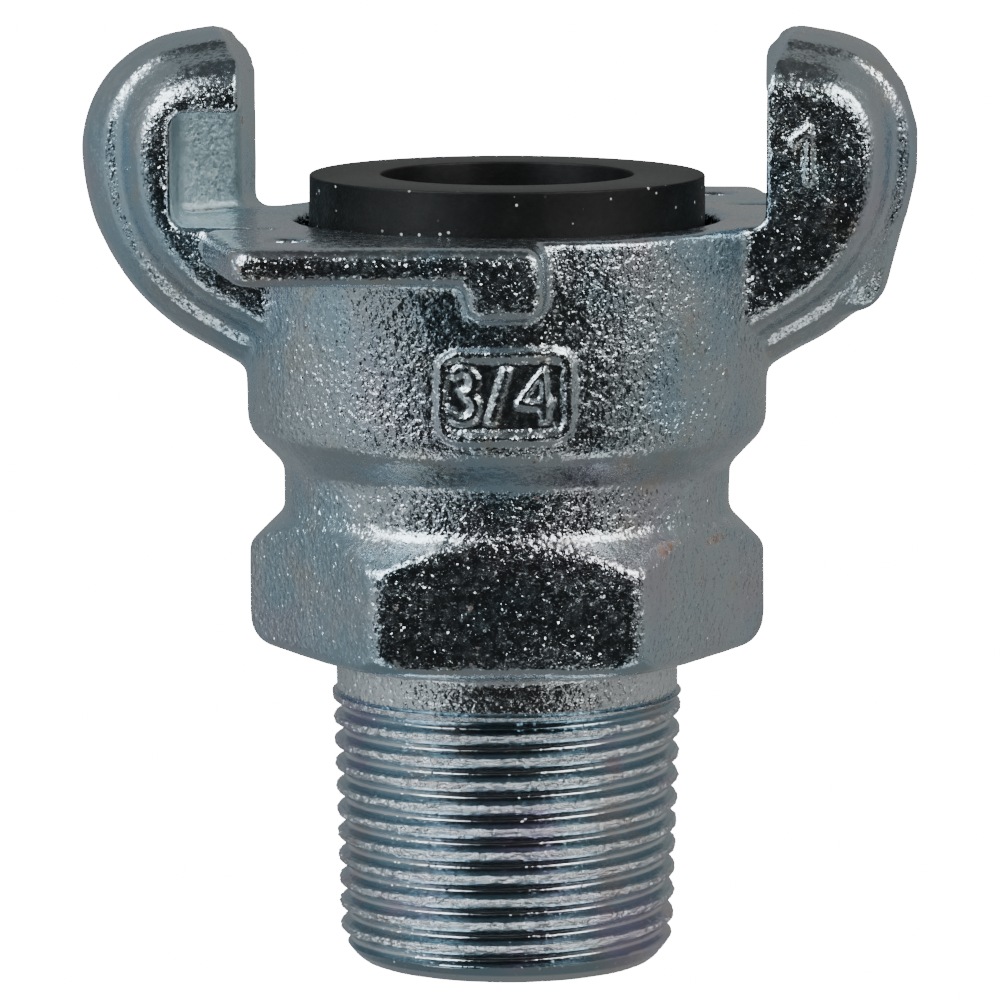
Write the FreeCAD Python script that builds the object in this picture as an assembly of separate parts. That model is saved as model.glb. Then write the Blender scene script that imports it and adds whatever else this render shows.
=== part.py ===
import FreeCAD, Part
import math
import os

# Claw hose coupling with a 3/4 in tapered pipe thread: one casting and the rubber washer in its head.
# Origin: centre of the thread's end face. +Z runs along the passage to the head, front is -Y.
# All values in millimetres.

# thread end, 14 threads to the inch, taper 1 in 16 on the diameter
thread_pitch = 25.4 / 14
thread_taper = 1 / 32
thread_length = 20.8
crest_radius_at_end = 12.86
groove_depth = 1.0
groove_root_width = 0.2
end_face_radius = 11.5
end_chamfer_height = 1.6

# head; the recess and its washer, the waist and the room between the claws follow its radius
head_radius = 20.05
head_top = 57.7
head_rim_round = 0.6
recess_radius = head_radius - 3.75
recess_floor = head_top - 8
groove_radius = head_radius - 2.45
groove_height = 3.3

# washer, held by its foot in the groove under the recess mouth
washer_radius = recess_radius - 1.1
washer_bore_radius = washer_radius - 5.5
passage_radius = washer_bore_radius - 0.2
washer_rise = 3.25
washer_foot_clearance = 0.25
washer_edge = 0.25

# hexagon and waist
neck_radius = 13.25
hex_across_flats = 35.0
hex_corner_radius = hex_across_flats / 2 + 2.4
hex_bottom = 23.8
hex_under_slope = 0.12
hex_corner_round = 0.5
hex_under_round = 1.3
hex_lower_corner_round = 2.2
hex_top = 32.4
waist_radius = head_radius - 2.85
waist_bottom = 35.0
waist_top = 38.7

# claws
claw_reach = 32.65
claw_top = 72.5
claw_top_slope = 0.16
claw_root_height = 46.0
claw_underside_angle = 29.3
claw_underside_round = 17.2
claw_shoulder_round = 9.2
claw_half_width = 9.0
claw_inner_radius = head_radius + 1.25
claw_inner_foot_round = 0.8
claw_mouth_depth = 2.4
claw_mouth_slope = 0.15
claw_mouth_round = 2.0
claw_tip_round = 0.8
# how far the outline draws in from the parting plane to the side face: (part of half width, inset, drop of the top)
claw_side_steps = (
    (0.05, 0.0, 0.0), (0.3, 0.6, 0.25), (0.54, 2.0, 0.85), (0.59, 3.3, 1.3),
    (0.82, 4.1, 2.4), (0.94, 4.7, 3.4), (1.0, 5.6, 4.4),
)

# ledges
ledge_reach = 25.0
ledge_thickness = 3.0
ledge_end = 2.8
ledge_heel = 20.4
ledge_root = 23.0
ledge_inside = 10.0
ledge_heel_start = 11.0
ledge_heel_round = 2.0
ledge_corner_round = 2.0
ledge_front_round = 1.1
lug_length = 5.9
lug_depth = 2.6
lug_corner_round = 1.5
lug_inner_round = 0.7
clip_hole_radius = 1.4
clip_hole_x = 16.4
clip_hole_y = 18.1

# slot in each claw that takes the mating ledge, and the deeper seat for its lug
slot_outer = ledge_reach + 0.4
slot_height = 8.5
slot_corner_round = 0.8
web_thickness = 5.0
web_slant = 0.62
lug_seat_length = 6.5
lug_seat_depth = 2.6

# ground flat where the gate of the casting was cut off, on the right claw
gate_flat_x = 31.35
gate_flat_bottom = 61.5
gate_corner_x = 29.0
gate_corner_height = 52.0
gate_stub_half_width = 4.0


def in_plan(a, b, level):
    return FreeCAD.Vector(a, b, level)


def upright(a, b, level):
    return FreeCAD.Vector(a, level, b)


def rounded_outline(corners, place, level=0.0):
    """Closed wire through corners (a, b, radius); a radius of 0 keeps the corner sharp."""
    stretches = []
    for index, (a, b, radius) in enumerate(corners):
        corner = place(a, b, level)
        if radius == 0:
            stretches.append((corner, None, corner))
            continue
        before = place(*corners[index - 1][:2], level) - corner
        after = place(*corners[(index + 1) % len(corners)][:2], level) - corner
        before.normalize()
        after.normalize()
        half_angle = before.getAngle(after) / 2
        middle = before + after
        middle.normalize()
        run = radius / math.tan(half_angle)
        sagitta = radius / math.sin(half_angle) - radius
        stretches.append((corner + before * run, corner + middle * sagitta, corner + after * run))
    edges = []
    for index, (start, middle, end) in enumerate(stretches):
        if middle is not None:
            edges.append(Part.Arc(start, middle, end).toShape())
        following = stretches[(index + 1) % len(stretches)][0]
        edges.append(Part.makeLine(end, following))
    return Part.Wire(edges)


def turned(corners):
    """Solid of revolution about Z from corners (radius, height, rounding)."""
    face = Part.Face(rounded_outline(corners, upright))
    return face.revolve(FreeCAD.Vector(0, 0, 0), FreeCAD.Vector(0, 0, 1), 360)


def prism(corners, bottom, top):
    """Upright prism from corners (x, y, rounding)."""
    return Part.Face(rounded_outline(corners, in_plan, bottom)).extrude(FreeCAD.Vector(0, 0, top - bottom))


def slab(corners, front, back):
    """Prism along Y from corners (x, z, rounding)."""
    return Part.Face(rounded_outline(corners, upright, front)).extrude(FreeCAD.Vector(0, back - front, 0))


def half_turn(shape):
    copy = shape.copy()
    copy.rotate(FreeCAD.Vector(0, 0, 0), FreeCAD.Vector(0, 0, 1), 180)
    return copy


def thread_crest(height):
    return crest_radius_at_end + height * thread_taper


def thread_blank():
    return turned((
        (0, 0, 0),
        (end_face_radius, 0, 0.6),
        (thread_crest(end_chamfer_height), end_chamfer_height, 0.6),
        (thread_crest(thread_length), thread_length, 0),
        (neck_radius, thread_length + 0.3, 0),
        (neck_radius, hex_bottom + 1, 0),
        (0, hex_bottom + 1, 0),
    ))


def thread_groove():
    """Solid of the helical groove, from below the end face to the end of the thread."""
    start = -2 * thread_pitch
    rise = thread_length - start - 0.3
    cone_angle = math.degrees(math.atan(thread_taper))
    flank = math.tan(math.radians(30))
    clear = 0.2
    root_half = groove_root_width / 2
    mouth_half = root_half + (groove_depth + clear) * flank

    def helix(radial, axial):
        curve = Part.makeLongHelix(thread_pitch, rise, thread_crest(start) + radial, cone_angle)
        curve.translate(FreeCAD.Vector(0, 0, start + axial))
        return curve

    lines = [
        helix(-groove_depth, -root_half),
        helix(-groove_depth, root_half),
        helix(clear, mouth_half),
        helix(clear, -mouth_half),
    ]
    faces = []
    for index, line in enumerate(lines):
        for edge, facing in zip(line.Edges, lines[(index + 1) % 4].Edges):
            faces.append(Part.makeRuledSurface(edge, facing))
    for end in (0, -1):
        corners = [line.Edges[end].Vertexes[end].Point for line in lines]
        faces.append(Part.Face(Part.makePolygon(corners + corners[:1])))
    shell = Part.makeShell(faces)
    shell.sewShape()
    groove = Part.makeSolid(shell)
    if groove.Volume < 0:
        groove.reverse()
    return groove


def hexagon_and_waist():
    blank = turned((
        (0, hex_bottom, 0),
        (neck_radius - 1, hex_bottom, 0),
        (hex_corner_radius, hex_bottom + (hex_corner_radius - neck_radius) * hex_under_slope,
         hex_lower_corner_round),
        (hex_corner_radius, hex_top, 1.0),
        (waist_radius, waist_bottom, 0.8),
        (waist_radius, waist_top + 1, 0),
        (0, waist_top + 1, 0),
    ))
    corner = hex_across_flats / math.sqrt(3)
    corners = [
        (corner * math.cos(math.radians(turn)), corner * math.sin(math.radians(turn)), hex_corner_round)
        for turn in range(0, 360, 60)
    ]
    hexagon = prism(corners, hex_bottom, head_top)
    bottom_rim = [edge for edge in hexagon.Edges if edge.BoundBox.ZMax < hex_bottom + 0.001]
    return blank.common(hexagon.makeChamfer(hex_under_round, bottom_rim))


def head():
    taper = head_radius - waist_radius
    return turned((
        (0, waist_top - 1.5, 0),
        (waist_radius, waist_top - 1.5, 0),
        (waist_radius, waist_top, 1.2),
        (head_radius, waist_top + taper, 2.5),
        (head_radius, head_top, head_rim_round),
        (0, head_top, 0),
    ))


def claw_outline(inset, drop):
    """Side outline of a claw, drawn in by the inset and lowered by the drop at its top."""
    angle = math.radians(claw_underside_angle)
    inside = head_radius - 2.5
    side = claw_reach - inset
    lift = claw_root_height + 0.9 * inset / math.cos(angle)
    top = claw_top - drop
    return (
        (inside, lift + (inside - head_radius) * math.tan(angle), 0),
        (side, lift + (side - head_radius) * math.tan(angle), claw_underside_round - inset),
        (side, top - claw_top_slope * (side - claw_inner_radius), claw_shoulder_round - 0.8 * inset),
        (inside, top - claw_top_slope * (inside - claw_inner_radius), 0),
    )


def claw_blank():
    levels = [(-share, inset, drop) for share, inset, drop in reversed(claw_side_steps)] + list(claw_side_steps)
    wires = [
        rounded_outline(claw_outline(inset, drop), upright, share * claw_half_width)
        for share, inset, drop in levels
    ]
    return Part.makeLoft(wires, True, True)


def mating_space():
    """Room between the claws for the other head, rounded at its foot and opened out at the tips."""
    above = claw_top + 5
    tip = claw_top - claw_tip_round
    tip_radius = claw_inner_radius + (claw_mouth_depth - claw_tip_round) * claw_mouth_slope
    return turned((
        (0, head_top, 0),
        (claw_inner_radius, head_top, claw_inner_foot_round),
        (claw_inner_radius, claw_top - claw_mouth_depth, claw_mouth_round),
        (tip_radius, tip, claw_tip_round),
        (tip_radius + above - tip, above, 0),
        (0, above, 0),
    ))


def claw_slot():
    """Slot of the right claw: closed by the web in front, open to the back."""
    web_inner = web_thickness - claw_half_width
    inside = head_radius - 5
    beyond = slot_outer + 1
    slot_top = head_top + slot_height
    behind_web = prism((
        (inside, web_inner + (inside - claw_inner_radius) * web_slant, 0),
        (beyond, web_inner + (beyond - claw_inner_radius) * web_slant, 0),
        (beyond, claw_half_width + 1, 0),
        (inside, claw_half_width + 1, 0),
    ), head_top, slot_top + lug_seat_depth)
    channel = slab((
        (inside, head_top, 0),
        (slot_outer, head_top, slot_corner_round),
        (slot_outer, slot_top, slot_corner_round),
        (inside, slot_top, 0),
    ), -claw_half_width, claw_half_width + 1)
    seat = slab((
        (inside, head_top + 1, 0),
        (slot_outer, head_top + 1, slot_corner_round),
        (slot_outer, slot_top + lug_seat_depth, slot_corner_round),
        (inside, slot_top + lug_seat_depth, 0),
    ), -claw_half_width, web_inner + lug_seat_length)
    return channel.fuse(seat).common(behind_web)


def worn_edge():
    """What is rounded off the tip's inner edge on the open side of the slot."""
    return prism((
        (claw_inner_radius - 5, claw_half_width - 1.9, 0),
        (claw_inner_radius - 1.28, claw_half_width - 1.9, 0),
        (claw_inner_radius - 0.87, claw_half_width + 0.6, 0),
        (claw_inner_radius - 5, claw_half_width + 0.6, 0),
    ), head_top + slot_height, claw_top + 5)


def claw():
    return claw_blank().cut(mating_space()).cut(claw_slot()).cut(worn_edge())


def gated_claw():
    """The right claw, with the stub of the gate ground flat."""
    stub_bottom = gate_corner_height - gate_stub_half_width * 0.35
    stub_top = gate_corner_height + gate_stub_half_width
    stub = slab((
        (gate_corner_x - gate_stub_half_width * 1.1, stub_bottom, 0),
        (gate_flat_x, stub_bottom, 0),
        (gate_flat_x, stub_top, 0),
        (gate_corner_x - gate_stub_half_width * 1.1, stub_top, 0),
    ), -gate_stub_half_width, gate_stub_half_width)
    beyond = slab((
        (gate_corner_x - 1.4, gate_corner_height - 1.5, 0),
        (gate_flat_x + 5, gate_corner_height - 1.5, 0),
        (gate_flat_x + 5, gate_flat_bottom + 9.1, 0),
        (gate_flat_x - 2.9, gate_flat_bottom + 9.1, 0),
        (gate_flat_x - 1.05, gate_flat_bottom + 6.6, 0),
        (gate_flat_x, gate_flat_bottom + 3.3, 0),
        (gate_flat_x, gate_flat_bottom, 0),
        (gate_corner_x, gate_corner_height, 0),
    ), -claw_half_width, claw_half_width)
    return claw().fuse(stub).cut(beyond)


def ledge():
    """Front ledge: a bar under the level of the head's top face, its locking lug and its clip hole."""
    underside = head_top - ledge_thickness
    lug_bottom = underside - lug_depth
    outline = slab((
        (-ledge_root - 1, head_top, 0),
        (ledge_end, head_top, lug_corner_round),
        (ledge_end, lug_bottom, lug_corner_round),
        (ledge_end - lug_length, lug_bottom, lug_corner_round),
        (ledge_end - lug_length, underside, lug_inner_round),
        (-ledge_root - 1, underside, 0),
    ), -ledge_reach, -ledge_inside)
    plan = prism((
        (-ledge_heel, -ledge_reach, ledge_corner_round),
        (ledge_end, -ledge_reach, 0),
        (ledge_end, -ledge_inside, 0),
        (-ledge_root, -ledge_inside / 2, 0),
        (-ledge_root, -ledge_heel_start, ledge_heel_round),
    ), lug_bottom, head_top)
    bar = outline.common(plan).removeSplitter()
    left_end = ledge_corner_round - ledge_heel
    rim = [
        edge for edge in bar.Edges
        if edge.BoundBox.YMax < 0.001 - ledge_reach
        or (edge.BoundBox.XMax < left_end and edge.BoundBox.ZLength < 0.001 and edge.BoundBox.YMin < -ledge_heel_start - 1)
    ]
    hole = Part.makeCylinder(
        clip_hole_radius, 3 * ledge_thickness,
        FreeCAD.Vector(-clip_hole_x, -clip_hole_y, underside - ledge_thickness),
    )
    return bar.makeFillet(ledge_front_round, rim).cut(hole)


def passage():
    """Through passage, washer recess and the groove that holds the washer's foot."""
    return turned((
        (0, -1, 0),
        (passage_radius, -1, 0),
        (passage_radius, recess_floor, 0),
        (groove_radius, recess_floor, 0.5),
        (groove_radius, recess_floor + groove_height, 0),
        (recess_radius, recess_floor + groove_height + 0.6, 0),
        (recess_radius, head_top + 1, 0),
        (0, head_top + 1, 0),
    ))


def coupling_body():
    front_ledge = ledge()
    body = head().multiFuse([
        hexagon_and_waist(),
        thread_blank().cut(thread_groove()),
        gated_claw(),
        half_turn(claw()),
        front_ledge,
        half_turn(front_ledge),
    ])
    return body.cut(passage()).removeSplitter()


def sealing_washer():
    foot_radius = groove_radius - washer_foot_clearance
    foot_top = recess_floor + groove_height - washer_foot_clearance
    top = head_top + washer_rise
    return turned((
        (washer_bore_radius, recess_floor, washer_edge),
        (foot_radius, recess_floor, 0.7),
        (foot_radius, foot_top, washer_edge),
        (washer_radius, foot_top, 0),
        (washer_radius, top, washer_edge),
        (washer_bore_radius, top, washer_edge),
    ))


def main():
    os.makedirs("parts", exist_ok=True)
    pieces = {"coupling_body": coupling_body(), "sealing_washer": sealing_washer()}
    for name, shape in pieces.items():
        box = shape.BoundBox
        print(name, shape.ShapeType, shape.isValid(), "solids", len(shape.Solids), "faces", len(shape.Faces),
              "volume", round(shape.Volume, 1),
              "x %.2f..%.2f y %.2f..%.2f z %.2f..%.2f" % (box.XMin, box.XMax, box.YMin, box.YMax, box.ZMin, box.ZMax))
        shape.Solids[0].exportStep("parts/%s.step" % name)


main()
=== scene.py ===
import math

import bmesh
import bpy
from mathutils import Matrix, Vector, noise


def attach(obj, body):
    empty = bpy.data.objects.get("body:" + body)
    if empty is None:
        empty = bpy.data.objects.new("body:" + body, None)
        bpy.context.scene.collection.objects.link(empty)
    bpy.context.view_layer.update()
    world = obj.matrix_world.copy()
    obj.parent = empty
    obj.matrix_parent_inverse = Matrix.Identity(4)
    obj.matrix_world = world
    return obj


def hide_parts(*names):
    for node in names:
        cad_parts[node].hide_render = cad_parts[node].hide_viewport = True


mm = 0.001

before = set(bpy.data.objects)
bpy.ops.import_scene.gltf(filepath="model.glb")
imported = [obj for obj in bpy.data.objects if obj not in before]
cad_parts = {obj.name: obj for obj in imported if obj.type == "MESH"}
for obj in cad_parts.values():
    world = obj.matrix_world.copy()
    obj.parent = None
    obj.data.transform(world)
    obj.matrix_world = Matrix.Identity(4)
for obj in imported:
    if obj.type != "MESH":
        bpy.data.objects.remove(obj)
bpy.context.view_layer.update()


def polar(radius, angle, height):
    return Vector((radius * math.cos(angle), radius * math.sin(angle), height))


def newObject(name, mesh):
    made = bpy.data.objects.new(name, mesh)
    bpy.context.scene.collection.objects.link(made)
    return made


def fromBmesh(bm, name):
    mesh = bpy.data.meshes.new(name)
    bm.to_mesh(mesh)
    bm.free()
    return newObject(name, mesh)


def settled(piece):
    # applies the modifiers to the mesh of the piece
    graph = bpy.context.evaluated_depsgraph_get()
    mesh = bpy.data.meshes.new_from_object(piece.evaluated_get(graph))
    old = piece.data
    piece.modifiers.clear()
    piece.data = mesh
    bpy.data.meshes.remove(old)


def modifier(piece, kind, **settings):
    added = piece.modifiers.new(kind.lower(), kind)
    for key, value in settings.items():
        setattr(added, key, value)


cameraPlace = {
    "distance": 529.22 * mm,  # from the coupling's axis, along the floor
    "height": 110.64 * mm,
    "aside": -0.54 * mm,  # the axis stands a little right of the picture's middle
    "pitch": 8.07,
    "lens": 249.2,
    "sensor": 36,
    "nearest": 10 * mm,
}


def addCamera():
    camera = bpy.data.objects.new("camera", bpy.data.cameras.new("camera"))
    bpy.context.scene.collection.objects.link(camera)
    camera.location = (cameraPlace["aside"], -cameraPlace["distance"], cameraPlace["height"])
    camera.rotation_euler = (math.radians(90 - cameraPlace["pitch"]), 0, 0)
    camera.data.sensor_width = cameraPlace["sensor"]
    camera.data.lens = cameraPlace["lens"]
    camera.data.clip_start = cameraPlace["nearest"]
    camera.data.dof.use_dof = False
    bpy.context.scene.camera = camera
    print("camera set")


# the casting: head, claws, ledges, waist and hexagon
casting = {
    "neckCut": 21.5 * mm,  # above the run-out of the thread
    "neckTuck": 0.8 * mm,  # how far the neck reaches down into the thread piece
    "coarseVoxel": 0.27 * mm,
    "fineVoxel": 0.2 * mm,
    "filletReach": 0.3 * mm,  # radius that inner corners fill up to
    "edgeReach": 0.2 * mm,  # and that outer corners lose
    "smoothing": 3,
    "hexRims": ((24.3 * mm, 26.9 * mm), (32.9 * mm, 35.4 * mm)),  # heights of the hexagon's curved rims
    "hexInside": 15 * mm,  # the passage and what lies around it
    "rimSmoothing": 12,
    "stubInside": 25 * mm,  # the gate stub at the right claw's foot
    "stubHalfWidth": 6 * mm,
    "stubHeights": (49 * mm, 58 * mm),
    "stubSmoothing": 90,
    "waveHeight": 0.06 * mm,
    "waveLength": 4.5 * mm,
    "finerWave": 2.3,  # a second wave, this many times shorter and half as high
    "waveSink": 0.6,  # keeps the waves inside the cast size
    "triangles": 190000,
}

# the raised size marks on the head and on the right claw's web
marks = {
    "headRadius": 20.05 * mm,
    "frameStroke": 0.5 * mm,
    "numberStroke": 0.5 * mm,
    "sink": 0.12 * mm,
    "frameLeft": -4.95, "frameRight": 4.65, "frameLow": 43.0, "frameHigh": 49.3,  # counted in mm
    "frameCorner": 1.3,
    "frameLean": 1.0,  # degrees
    "frameStep": 0.8,
    "webFace": -9.0 * mm,
    "one": ((21.35, 63.9), (22.75, 65.2), (22.75, 61.0)),
}


def castingCore():
    bm = bmesh.new()
    bm.from_mesh(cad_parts["coupling_body"].data)
    bmesh.ops.remove_doubles(bm, verts=bm.verts, dist=1e-6)
    cut = bmesh.ops.bisect_plane(
        bm, geom=bm.verts[:] + bm.edges[:] + bm.faces[:], dist=1e-7,
        plane_co=(0, 0, casting["neckCut"]), plane_no=(0, 0, 1), clear_inner=True,
    )["geom_cut"]
    rim = [item for item in cut if isinstance(item, bmesh.types.BMEdge)]
    pulled = bmesh.ops.extrude_edge_only(bm, edges=rim)["geom"]
    low = [item for item in pulled if isinstance(item, bmesh.types.BMVert)]
    bmesh.ops.translate(bm, verts=low, vec=(0, 0, -casting["neckTuck"]))
    lowRim = [item for item in pulled if isinstance(item, bmesh.types.BMEdge) and item.is_boundary]
    bmesh.ops.bridge_loops(bm, edges=lowRim)
    bmesh.ops.recalc_face_normals(bm, faces=bm.faces)
    return fromBmesh(bm, "casting")


def strokeMesh(name, points, stroke, closed=False):
    # one raised stroke: a round bar half sunk in the face
    curve = bpy.data.curves.new(name, "CURVE")
    curve.dimensions = "3D"
    curve.bevel_depth = stroke
    curve.bevel_resolution = 3
    curve.use_fill_caps = True
    spline = curve.splines.new("POLY")
    spline.points.add(len(points) - 1)
    for point, place in zip(spline.points, points):
        point.co = (*place, 1)
    spline.use_cyclic_u = closed
    made = newObject(name, curve)
    graph = bpy.context.evaluated_depsgraph_get()
    mesh = bpy.data.meshes.new_from_object(made.evaluated_get(graph))
    bpy.data.objects.remove(made)
    bpy.data.curves.remove(curve)
    return mesh


def onHead(across, height):
    # a place in the round front of the head, given in millimetres across and up
    radius = marks["headRadius"] - marks["sink"]
    turn = across * mm / marks["headRadius"]
    return Vector((radius * math.sin(turn), -radius * math.cos(turn), height * mm))


def arcPoints(centre, radius, start, end, steps=10):
    turns = [math.radians(start + (end - start) * step / steps) for step in range(steps + 1)]
    return [(centre[0] + radius[0] * math.cos(turn), centre[1] + radius[1] * math.sin(turn)) for turn in turns]


def frameOutline():
    left, right, low, high = (marks[key] for key in ("frameLeft", "frameRight", "frameLow", "frameHigh"))
    corner = marks["frameCorner"]
    points = []
    for across, height, start in ((right, high, 0), (left, high, 90), (left, low, 180), (right, low, 270)):
        centre = (across - math.copysign(corner, across), height + (corner if height == low else -corner))
        points += arcPoints(centre, (corner, corner), start, start + 90, 5)
    lean = math.tan(math.radians(marks["frameLean"]))
    dense = []
    for index, (across, height) in enumerate(points):
        following = points[(index + 1) % len(points)]
        steps = max(1, round(math.dist((across, height), following) / marks["frameStep"]))
        for step in range(steps):
            share = step / steps
            dense.append((across + (following[0] - across) * share, height + (following[1] - height) * share))
    return [(across, height + across * lean) for across, height in dense]


def headStrokes():
    upperBow = arcPoints((-3.3, 47.25), (0.9, 0.95), 160, -80)
    lowerBow = arcPoints((-3.35, 45.4), (1.05, 1.05), 85, -160)
    return {
        "three": upperBow + lowerBow,
        "slash": [(0.0, 48.3), (-1.2, 44.2)],
        "four": [(2.75, 44.3), (2.7, 48.2), (0.75, 45.6), (3.3, 45.5)],
    }


def addMarks(core):
    outline = [onHead(*point) for point in frameOutline()]
    meshes = [strokeMesh("sizeFrame", outline, marks["frameStroke"], closed=True)]
    for name, points in headStrokes().items():
        meshes.append(strokeMesh(name, [onHead(*point) for point in points], marks["numberStroke"]))
    web = marks["webFace"] + marks["sink"]
    one = [Vector((across * mm, web, height * mm)) for across, height in marks["one"]]
    meshes.append(strokeMesh("one", one, marks["frameStroke"]))
    bm = bmesh.new()
    bm.from_mesh(core.data)
    for mesh in meshes:
        bm.from_mesh(mesh)
        bpy.data.meshes.remove(mesh)
    bm.to_mesh(core.data)
    bm.free()


def onHexRim(place):
    return place.xy.length > casting["hexInside"] and any(low < place.z < high for low, high in casting["hexRims"])


def onGateStub(place):
    low, high = casting["stubHeights"]
    return place.x > casting["stubInside"] and abs(place.y) < casting["stubHalfWidth"] and low < place.z < high


def addWear(piece):
    # the curved rims of the hexagon and the gate stub are rounder than the other edges
    for name, chosen in (("rimSmoothing", onHexRim), ("stubSmoothing", onGateStub)):
        group = piece.vertex_groups.new(name=name)
        group.add([vertex.index for vertex in piece.data.vertices if chosen(vertex.co)], 1.0, "REPLACE")
        modifier(piece, "SMOOTH", factor=0.5, iterations=casting[name], vertex_group=name)


def addCasting():
    piece = castingCore()
    reach = casting["filletReach"]
    edge = casting["edgeReach"]
    for strength in (reach, -reach - edge, edge):  # grown, shrunk and grown back, which rounds the corners
        modifier(piece, "REMESH", mode="VOXEL", voxel_size=casting["coarseVoxel"])
        modifier(piece, "DISPLACE", strength=strength, mid_level=0)
    settled(piece)
    addMarks(piece)
    modifier(piece, "REMESH", mode="VOXEL", voxel_size=casting["fineVoxel"])
    modifier(piece, "SMOOTH", factor=0.5, iterations=casting["smoothing"])
    settled(piece)
    addWear(piece)
    settled(piece)
    bm = bmesh.new()
    bm.from_mesh(piece.data)
    for vertex in bm.verts:
        place = vertex.co / casting["waveLength"]
        swell = noise.noise(place) + 0.5 * noise.noise(place * casting["finerWave"])
        vertex.co += vertex.normal * casting["waveHeight"] * (swell - casting["waveSink"])
    bm.to_mesh(piece.data)
    bm.free()
    share = casting["triangles"] / (2 * len(piece.data.polygons))
    modifier(piece, "DECIMATE", ratio=min(1, share))
    settled(piece)
    piece.data.shade_smooth()
    print("casting", len(piece.data.polygons), "faces")
    return piece


# the turned and threaded end of the same casting
thread = {
    "pitch": 25.4 / 14 * mm,
    "taper": 1 / 32,
    "crestRadius": 12.9 * mm,
    "depth": 0.95 * mm,
    "rootHalf": 0.04,  # parts of the pitch
    "flank": 0.38,
    "profileSteps": 16,
    "phase": -0.3 * mm,
    "top": 20.85 * mm,
    "runOut": 1.1 * mm,  # the groove fades away over this height under the neck
    "endRadius": 11.3 * mm,
    "chamferHeight": 1.9 * mm,
    "boreRadius": 9.5 * mm,
    "boreChamfer": 0.4 * mm,
    "boreTop": 21.6 * mm,
    "spigotWall": 2.6 * mm,  # reaches up inside the neck
    "stepsPerTurn": 360,
    "tear": 0.13 * mm,  # ragged crests, as a tool leaves them on cast iron
    "tearDepth": 0.3 * mm,  # how far below the crest it still is ragged
}


def addThread():
    pitch = thread["pitch"]
    steps = thread["profileSteps"]
    profile = [(threadRise(step / steps) - thread["depth"], pitch * step / steps) for step in range(steps + 1)]
    bm = bmesh.new()
    start = -1.5 * pitch + thread["phase"]
    corners = [bm.verts.new((thread["crestRadius"] + rise, 0, start + along)) for rise, along in profile]
    line = [bm.edges.new(pair) for pair in zip(corners, corners[1:])]
    turnSteps = thread["stepsPerTurn"]
    bmesh.ops.spin(
        bm, geom=corners + line, cent=(0, 0, 0), axis=(0, 0, 1),
        dvec=(0, 0, pitch / turnSteps), angle=math.tau, steps=turnSteps,
    )
    firstTurn = bm.verts[:] + bm.edges[:] + bm.faces[:]
    for turn in range(1, math.ceil((thread["top"] - start) / pitch) + 1):
        copied = bmesh.ops.duplicate(bm, geom=firstTurn)["geom"]
        lifted = [item for item in copied if isinstance(item, bmesh.types.BMVert)]
        bmesh.ops.translate(bm, verts=lifted, vec=(0, 0, pitch * turn))
    bmesh.ops.remove_doubles(bm, verts=bm.verts, dist=1e-6)
    for vertex in bm.verts:
        radius = vertex.co.xy.length
        wanted = threadRadius(vertex.co, radius)
        vertex.co.x *= wanted / radius
        vertex.co.y *= wanted / radius
    for height, side in ((0, 1), (thread["top"], -1)):
        bmesh.ops.bisect_plane(
            bm, geom=bm.verts[:] + bm.edges[:] + bm.faces[:], dist=1e-7,
            plane_co=(0, 0, height), plane_no=(0, 0, side), clear_inner=True,
        )
    ends = [edge for edge in bm.edges if edge.is_boundary]
    lowRim = [edge for edge in ends if edge.verts[0].co.z < thread["top"] / 2]
    highRim = [edge for edge in ends if edge.verts[0].co.z >= thread["top"] / 2]
    bore = thread["boreRadius"]
    chamfer = thread["boreChamfer"]
    for radius, height in ((bore + chamfer, 0), (bore, chamfer), (bore, thread["boreTop"])):
        lowRim = drawnRing(bm, lowRim, radius, height)
    spigot = bore + thread["spigotWall"]
    for height in (thread["top"], thread["boreTop"]):
        highRim = drawnRing(bm, highRim, spigot, height)
    bmesh.ops.bridge_loops(bm, edges=lowRim + highRim)
    bmesh.ops.recalc_face_normals(bm, faces=bm.faces)
    piece = fromBmesh(bm, "pipeThread")
    piece.data.shade_smooth()
    piece.data.set_sharp_from_angle(angle=math.radians(60))
    print("thread", len(piece.data.polygons), "faces")
    return piece


def threadRise(share):
    # height over the root, at this part of a pitch: 60 degree flanks between a round root and a round crest
    climb = min(1.0, max(0.0, (min(share, 1 - share) - thread["rootHalf"]) / thread["flank"]))
    return thread["depth"] * climb * climb * (3 - 2 * climb)


def threadRadius(place, radius):
    # tapered, ragged at the crests, faded out at the neck and chamfered at the end
    crest = thread["crestRadius"]
    depth = crest - radius
    fade = min(1.0, max(0.0, (thread["top"] - place.z) / thread["runOut"]))
    nearCrest = max(0.0, 1 - depth / thread["tearDepth"]) * fade
    along = math.atan2(place.y, place.x) * crest / mm
    up = place.z / mm
    ragged = noise.noise((along * 1.3, 0.0, up * 4)) + 0.7 * noise.noise((along * 3.1, 5.0, up * 6))
    wanted = crest - depth * fade + place.z * thread["taper"] + nearCrest * thread["tear"] * (ragged - 0.6)
    if place.z < thread["chamferHeight"]:
        slope = (max(0.0, place.z) / thread["chamferHeight"]) ** 0.7
        wanted = min(wanted, thread["endRadius"] + slope * (crest - thread["endRadius"] + 0.05 * mm))
    return wanted


def drawnRing(bm, rim, radius, height):
    # extrudes a ring of edges to a circle of this radius and height
    grown = bmesh.ops.extrude_edge_only(bm, edges=rim)["geom"]
    for item in grown:
        if isinstance(item, bmesh.types.BMVert):
            item.co = polar(radius, math.atan2(item.co.y, item.co.x), height)
    return [item for item in grown if isinstance(item, bmesh.types.BMEdge) and item.is_boundary]


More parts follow.
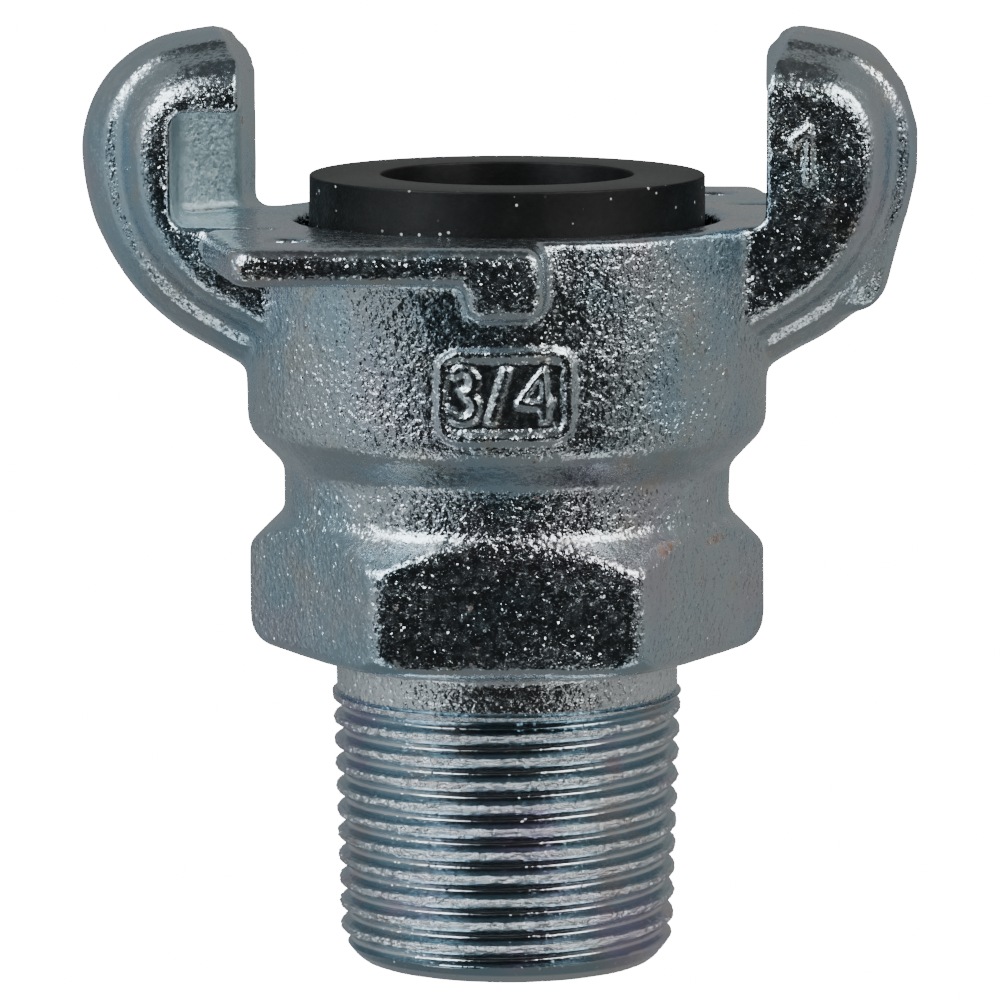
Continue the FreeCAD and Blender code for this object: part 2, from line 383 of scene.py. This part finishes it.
# the rubber washer, turned; its foot sits in the groove of the head
washer = {
    "radius": 15.2 * mm,
    "bore": 9.7 * mm,
    "footRadius": 17.3 * mm,
    "bottom": 49.72 * mm,
    "footTop": 52.7 * mm,
    "top": 60.93 * mm,
    "edge": 0.18 * mm,
    "steps": 240,
}


def isRound(first, second):
    # true where an edge runs round the axis
    return abs(first.z - second.z) < 1e-7 and abs(first.xy.length - second.xy.length) < 1e-6


def addWasher():
    outline = (
        (washer["bore"], washer["bottom"]), (washer["footRadius"], washer["bottom"]),
        (washer["footRadius"], washer["footTop"]), (washer["radius"], washer["footTop"]),
        (washer["radius"], washer["top"]), (washer["bore"], washer["top"]),
    )
    bm = bmesh.new()
    corners = [bm.verts.new((radius, 0, height)) for radius, height in outline]
    line = [bm.edges.new(pair) for pair in zip(corners, corners[1:] + corners[:1])]
    bmesh.ops.spin(
        bm, geom=corners + line, cent=(0, 0, 0), axis=(0, 0, 1),
        angle=math.tau, steps=washer["steps"], use_merge=True,
    )
    bmesh.ops.remove_doubles(bm, verts=bm.verts, dist=1e-6)
    bmesh.ops.recalc_face_normals(bm, faces=bm.faces)
    rings = [edge for edge in bm.edges if isRound(*(corner.co for corner in edge.verts))]
    bmesh.ops.bevel(
        bm, geom=rings, offset=washer["edge"], offset_type="OFFSET",
        affect="EDGES", segments=3, profile=0.5, material=-1,
    )
    piece = fromBmesh(bm, "faceSeal")
    piece.data.shade_smooth()
    piece.data.set_sharp_from_angle(angle=math.radians(40))
    print("washer", len(piece.data.polygons), "faces")
    return piece


# shader nodes, written as plain arithmetic
class Signal:
    def __init__(self, recipe, socket):
        self.recipe = recipe
        self.socket = socket

    def math(self, operation, other=0.0, flipped=False):
        first, second = (other, self) if flipped else (self, other)
        return self.recipe.node("ShaderNodeMath", {"operation": operation}, {0: first, 1: second})

    def __add__(self, other):
        return self.math("ADD", other)

    def __sub__(self, other):
        return self.math("SUBTRACT", other)

    def __rsub__(self, other):
        return self.math("SUBTRACT", other, True)

    def __mul__(self, other):
        return self.math("MULTIPLY", other)

    def __pow__(self, other):
        return self.math("POWER", other)

    __radd__ = __add__
    __rmul__ = __mul__

    def between(self, low, high):
        # 0 below low, 1 above high, smooth between
        limits = {"Value": self, "From Min": low, "From Max": high}
        return self.recipe.node("ShaderNodeMapRange", {"interpolation_type": "SMOOTHSTEP"}, limits)

    def output(self, index):
        # another output of the node that this one comes from
        return Signal(self.recipe, self.socket.node.outputs[index])


class Recipe:
    def __init__(self, tree):
        self.tree = tree
        tree.nodes.clear()

    def node(self, kind, settings=None, values=None, output=0):
        made = self.tree.nodes.new(kind)
        for key, value in (settings or {}).items():
            setattr(made, key, value)
        for key, value in (values or {}).items():
            if isinstance(value, Signal):
                self.tree.links.new(value.socket, made.inputs[key])
            else:
                made.inputs[key].default_value = value
        return Signal(self, made.outputs[output]) if made.outputs else made

    def mix(self, share, first, second):
        return self.node("ShaderNodeMix", {"data_type": "RGBA"}, {0: share, 6: first, 7: second}, output=2)

    def vector(self, operation, first, second=None, scale=None):
        values = {0: first}
        if second is not None:
            values[1] = second
        if scale is not None:
            values["Scale"] = scale
        return self.node("ShaderNodeVectorMath", {"operation": operation}, values)

    def millimetres(self):
        # object coordinates, counted in millimetres
        return self.vector("SCALE", self.node("ShaderNodeTexCoord", output=3), scale=1000.0)

    def parts(self, vector):
        split = self.node("ShaderNodeSeparateXYZ", None, {0: vector})
        return split, split.output(1), split.output(2)

    def noise(self, place, scale, detail=2.0, roughness=0.5):
        values = {"Vector": place, "Scale": scale, "Detail": detail, "Roughness": roughness}
        return self.node("ShaderNodeTexNoise", None, values)

    def facets(self, place, scale, steadyTilt, rareTilt, share=1.0):
        # crystals that each lean their own way, a few of them steeply
        crystal = self.node("ShaderNodeTexVoronoi", None, {"Vector": place, "Scale": scale}).output(2)
        chance = self.node("ShaderNodeTexWhiteNoise", {"noise_dimensions": "3D"}, {"Vector": crystal})
        lean = self.vector("SUBTRACT", chance.output(1), (0.5, 0.5, 0.5))
        return self.vector("SCALE", lean, scale=(chance ** 7 * rareTilt + steadyTilt) * share)

    def bump(self, height, distance, normal=None):
        values = {"Height": height, "Distance": distance, "Strength": 1.0}
        if normal is not None:
            values["Normal"] = normal
        return self.node("ShaderNodeBump", None, values)

    def leaned(self, *leans):
        # the surface's own normal with these leans added
        normal = self.node("ShaderNodeNewGeometry", output=1)
        for lean in leans:
            normal = self.vector("ADD", normal, lean)
        return self.vector("NORMALIZE", normal)

    def surface(self, values):
        shader = self.node("ShaderNodeBsdfPrincipled", None, values)
        self.node("ShaderNodeOutputMaterial", None, {"Surface": shader})


def newMaterial(name):
    material = bpy.data.materials.new(name)
    material.use_nodes = True
    return material, Recipe(material.node_tree)


def tone(red, green, blue):
    return (red, green, blue, 1)


# plated sand-cast iron; places and patterns are counted in millimetres
castZinc = {
    "plain": tone(0.60, 0.68, 0.73),
    "blue": tone(0.42, 0.62, 0.74),
    "rose": tone(0.64, 0.58, 0.66),
    "straw": tone(0.64, 0.61, 0.52),
    "rust": tone(0.20, 0.075, 0.025),
    "neckPaintedSheen": tone(0.88, 0.94, 0.97),  # painted sheen: the neck under the hexagon gets a lighter tone, standing in for the brighter light it reflects near the table
    "neckHeights": (23.2, 24.8),  # where that brightness ends
    "slot": tone(0.36, 0.50, 0.54),  # painted reflection: a teal-grey tone on the wall behind the claw's slot stands in for the room it reflects
    "slotAcross": (20.0, 25.8),
    "slotHeights": (57.8, 66.6),
    "slotHalfDepth": 5.0,
    "frameMiddle": (-0.15, 46.15),  # the calm panel behind the head's size mark
    "frameHalf": (3.9, 2.3),
    "rustHeight": 34.0,  # the hexagon's upper rim, at its right end
    "rustAcross": 10.0,
    "peelHeight": 0.17 * mm,
    "waveHeight": 0.16 * mm,
    "roughness": 0.14,
}


def castZincMaterial():
    material, recipe = newMaterial("castZinc")
    place = recipe.millimetres()
    across, along, height = recipe.parts(place)
    normal = recipe.parts(recipe.node("ShaderNodeNewGeometry", output=1))
    facing = normal[1].math("ABSOLUTE")
    outward = across.math("ABSOLUTE")
    # the drafted sides of the claws, slopes and the panel behind the size mark are calmer
    onClaw = outward.between(20.4, 21.4).math("MAXIMUM", height.between(57.9, 58.5))
    drafted = onClaw * (1 - facing.between(0.78, 0.93))
    calm = drafted.math("MAXIMUM", normal[2].math("ABSOLUTE").between(0.25, 0.5))
    middle, half = castZinc["frameMiddle"], castZinc["frameHalf"]
    framed = 1 - (across - middle[0]).math("ABSOLUTE").between(half[0], half[0] + 0.5)
    framed = framed * (1 - (height - middle[1]).math("ABSOLUTE").between(half[1], half[1] + 0.5))
    calm = calm.math("MAXIMUM", framed * (1 - along.between(-16.0, -15.0)) * 0.8)
    near, far = castZinc["slotAcross"]
    low, high = castZinc["slotHeights"]
    deep = castZinc["slotHalfDepth"]
    inSlot = outward.between(near, near + 0.5) * (1 - outward.between(far - 0.3, far))
    inSlot = inSlot * (1 - along.math("ABSOLUTE").between(deep, deep + 1.0))
    inSlot = inSlot * height.between(low, low + 0.3) * (1 - height.between(high - 0.3, high))
    # sand-cast skin: orange peel, with zinc crystals over it
    peel = recipe.noise(place, 2.6, 2, 0.45)
    wave = recipe.noise(place, 0.9, 2, 0.5)
    smoother = recipe.noise(place, 0.14, 1, 0.5).between(0.42, 0.62)
    crystals = recipe.facets(place, 6.0, 0.22, 0.45, 1 - calm * 0.6)
    clusters = recipe.facets(place, 3.2, 0.12, 0.2, 1 - calm * 0.6)
    skin = recipe.bump(wave * (1 - calm * 0.6), castZinc["waveHeight"], recipe.leaned(crystals, clusters))
    skin = recipe.bump(peel * (1 - smoother * 0.5) * (1 - calm * 0.75), castZinc["peelHeight"], skin)
    # thin passivation film, its colour drifts over the piece
    blueShare = recipe.noise(place, 0.11, 2, 0.55).between(0.44, 0.66)
    roseShare = recipe.noise(recipe.vector("ADD", place, (31.0, 7.0, 3.0)), 0.09, 2, 0.5).between(0.52, 0.7)
    strawShare = recipe.noise(recipe.vector("ADD", place, (5.0, 40.0, 9.0)), 0.17, 3, 0.6).between(0.56, 0.72)
    colour = recipe.mix(blueShare * 0.75, castZinc["plain"], castZinc["blue"])
    colour = recipe.mix(roseShare * 0.55, colour, castZinc["rose"])
    colour = recipe.mix(strawShare * 0.5, colour, castZinc["straw"])
    # painted sheen: the neck is lightened below the hexagon
    colour = recipe.mix((1 - height.between(*castZinc["neckHeights"])) * 0.9, colour, castZinc["neckPaintedSheen"])
    # painted reflection: the slot's back wall takes the teal-grey tone (its duller roughness is set below)
    colour = recipe.mix(inSlot * 0.8, colour, castZinc["slot"])
    # rust has started at the right end of the hexagon's upper rim, and in a few pores
    pores = recipe.noise(place, 0.9, 2, 0.5).between(0.73, 0.77)
    rimHeight = height - castZinc["rustHeight"]
    onRim = across.between(castZinc["rustAcross"], castZinc["rustAcross"] + 2.0) * (1 - along.between(-6.0, -2.0))
    onRim = onRim * (1 - rimHeight.math("ABSOLUTE").between(0.4, 1.1))
    rimRust = onRim * recipe.noise(place, 0.8, 3, 0.6).between(0.52, 0.64)
    rust = pores.math("MAXIMUM", rimRust)
    colour = recipe.mix(rust * 0.8, colour, castZinc["rust"])
    dull = recipe.noise(place, 1.3, 3, 0.6).between(0.35, 0.7)
    recipe.surface({
        "Base Color": colour,
        "Metallic": 1.0 - rust * 0.7,
        "Roughness": dull * 0.14 + rust * 0.3 + inSlot * 0.35 + castZinc["roughness"],
        "Normal": skin,
    })
    return material


# the same plating over the cut thread
cutZinc = {
    "plain": tone(0.72, 0.79, 0.84),
    "blue": tone(0.30, 0.44, 0.52),
    "violet": tone(0.60, 0.50, 0.68),
    "peach": tone(0.68, 0.55, 0.50),
    "roughness": 0.17,
    "lineHeight": 0.02 * mm,
    "tornHeight": 0.16 * mm,
}


def cutZincMaterial():
    material, recipe = newMaterial("cutZinc")
    place = recipe.millimetres()
    across, along, height = recipe.parts(place)
    turn = along.math("ARCTAN2", across)
    radius = (across * across + along * along) ** 0.5
    # tool marks run round the thread
    lathe = recipe.node("ShaderNodeCombineXYZ", None, {0: turn * 1.6, 1: radius * 7.0, 2: height * 7.0})
    lines = recipe.noise(lathe, 1.0, 3, 0.6)
    tearing = recipe.node("ShaderNodeCombineXYZ", None, {0: turn * 30.0, 1: radius * 5.0, 2: height * 7.0})
    torn = recipe.noise(tearing, 1.0, 4, 0.65)
    depth = radius - height * thread["taper"] - thread["crestRadius"] / mm
    crest = depth.between(-0.28, -0.06)
    flank = depth.between(-0.92, -0.75) * (1 - depth.between(-0.35, -0.12))
    crystals = recipe.facets(place, 6.0, 0.03, 0.5)
    crestCrystals = recipe.vector("SCALE", recipe.facets(place, 4.5, 0.3, 1.2), scale=crest)
    skin = recipe.bump(lines, cutZinc["lineHeight"], recipe.leaned(crystals, crestCrystals))
    skin = recipe.bump(torn * crest, cutZinc["tornHeight"], skin)
    violetShare = recipe.noise(place, 0.13, 2, 0.5).between(0.5, 0.68)
    peachShare = recipe.noise(recipe.vector("ADD", place, (9.0, 20.0, 4.0)), 0.2, 2, 0.5).between(0.52, 0.7)
    colour = recipe.mix(flank * 0.8, cutZinc["plain"], cutZinc["blue"])
    colour = recipe.mix(violetShare * 0.5, colour, cutZinc["violet"])
    colour = recipe.mix(peachShare * 0.35, colour, cutZinc["peach"])
    recipe.surface({
        "Base Color": colour, "Metallic": 1.0, "Roughness": crest * 0.04 + cutZinc["roughness"], "Normal": skin,
    })
    return material


rubber = {
    "deep": tone(0.002, 0.002, 0.002),
    "worn": tone(0.007, 0.007, 0.007),
    "top": tone(0.032, 0.032, 0.031),  # painted light: the upper face is lighter, as it catches the overhead light while the sides face the dark room
    "shine": 0.28,
    "dust": tone(0.85, 0.85, 0.83),  # clings to the outer side
    "dustFrom": 14.7,  # distance from the axis in mm
    "roughness": 0.42,
    "grainHeight": 0.02 * mm,
}


def rubberMaterial():
    material, recipe = newMaterial("blackRubber")
    place = recipe.millimetres()
    fine = recipe.noise(place, 3.0, 4, 0.6)
    wide = recipe.noise(place, 0.4, 3, 0.6)
    cells = recipe.node("ShaderNodeTexVoronoi", None, {"Vector": place, "Scale": 1.4})
    chance = recipe.parts(cells.output(1))
    across, along = recipe.parts(place)[:2]
    radius = (across * across + along * along) ** 0.5
    outside = radius.between(rubber["dustFrom"], rubber["dustFrom"] + 0.3)
    specks = (1 - cells.between(0.12, 0.2)) * chance[0].between(0.66, 0.68) * chance[1].between(0.0, 0.7) * outside
    colour = recipe.mix(wide.between(0.4, 0.7), rubber["deep"], rubber["worn"])
    # painted light: faces turned upward get the lighter top tone
    litTopShare = recipe.parts(recipe.node("ShaderNodeNewGeometry", output=1))[2]
    colour = recipe.mix(litTopShare.between(0.6, 0.95), colour, rubber["top"])
    colour = recipe.mix(specks, colour, rubber["dust"])
    recipe.surface({
        "Base Color": colour,
        "Roughness": fine * 0.15 + rubber["roughness"],
        "Specular IOR Level": rubber["shine"],
        "Normal": recipe.bump(fine, rubber["grainHeight"]),
    })
    return material


# surroundings: a pale sweep behind, dim room in front, two lamps high on either side of the camera
studio = {
    "front": 0.014,
    "upFront": 0.10,
    "left": 0.46,
    "right": 0.31,
    "back": 0.27,
    "overhead": 0.07,
    "below": 0.2,
    "rightDark": 12,  # the dark front reaches this many degrees further to the right
    "lamps": (  # bearing, elevation and reach in degrees, strength
        (-56, 40, 17, 8.0), (53, 38, 16, 7.0),
        (-57, 18, 15, 1.1), (57, 18, 14, 0.9),  # their lower ends
        (-56, -48, 9, 1.6), (53, -48, 9, 1.3),  # and their reflections in the table
    ),
    "lampBlur": 5,
    "floorSize": 6,
    "floorGlow": 20,
}


def addStudio():
    world = bpy.data.worlds.new("studio")
    world.use_nodes = True
    bpy.context.scene.world = world
    recipe = Recipe(world.node_tree)
    aim = recipe.node("ShaderNodeTexCoord", output=0)
    across, depth, height = recipe.parts(aim)
    bearing = across.math("ARCTAN2", depth * -1.0) * (180 / math.pi)  # 0 towards the camera, positive to the right
    swing = bearing.math("ABSOLUTE")
    rightSide = bearing.between(-20.0, 20.0)
    side = rightSide * (studio["right"] - studio["left"]) + studio["left"]
    rise = swing - rightSide * studio["rightDark"]
    level = side + (studio["front"] - side) * (1 - rise.between(28.0, 78.0))
    level = level + (studio["back"] - level) * swing.between(85.0, 125.0)
    level = level + (studio["upFront"] - level) * height.between(0.3, 0.6) * (1 - swing.between(30.0, 70.0))
    level = level + (studio["overhead"] - level) * height.between(0.8, 0.93)
    level = level + (studio["below"] - level) * (1 - height.between(-0.75, -0.4))
    for turn, lift, reach, strength in studio["lamps"]:
        level = level + lampGlow(recipe, aim, turn, lift, reach) * strength
    tint = recipe.mix(rightSide, tone(0.90, 0.97, 1.0), tone(1.0, 1.0, 0.97))
    glow = recipe.node("ShaderNodeBackground", None, {"Color": tint, "Strength": level})
    recipe.node("ShaderNodeOutputWorld", None, {"Surface": glow})
    addFloor()
    print("studio set")


def lampGlow(recipe, aim, turn, lift, reach):
    turn, lift = math.radians(turn), math.radians(lift)
    towards = (math.cos(lift) * math.sin(turn), -math.cos(lift) * math.cos(turn), math.sin(lift))
    facing = recipe.node("ShaderNodeVectorMath", {"operation": "DOT_PRODUCT"}, {0: aim, 1: towards}, output=1)
    outer = math.cos(math.radians(reach + studio["lampBlur"]))
    inner = math.cos(math.radians(reach - studio["lampBlur"]))
    return facing.between(outer, inner)


def addFloor():
    bm = bmesh.new()
    bmesh.ops.create_grid(bm, x_segments=1, y_segments=1, size=studio["floorSize"])
    floor = fromBmesh(bm, "floor")
    material, paint = newMaterial("paleFloor")
    paint.surface({
        "Base Color": tone(0.9, 0.9, 0.9), "Roughness": 0.9,
        "Emission Color": tone(1, 1, 1), "Emission Strength": studio["floorGlow"],
    })
    floor.data.materials.append(material)
    floor.visible_glossy = False
    floor.visible_diffuse = False


addCamera()
dressed = (
    (addCasting(), castZincMaterial(), "coupling_body", "zinc_plated_iron"),
    (addThread(), cutZincMaterial(), "coupling_body", "zinc_plated_iron"),
    (addWasher(), rubberMaterial(), "sealing_washer", "black_rubber"),
)
for piece, material, node, slot in dressed:
    piece.data.materials.clear()
    piece.data.materials.append(material)
    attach(piece, "root")
    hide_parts(node)
addStudio()
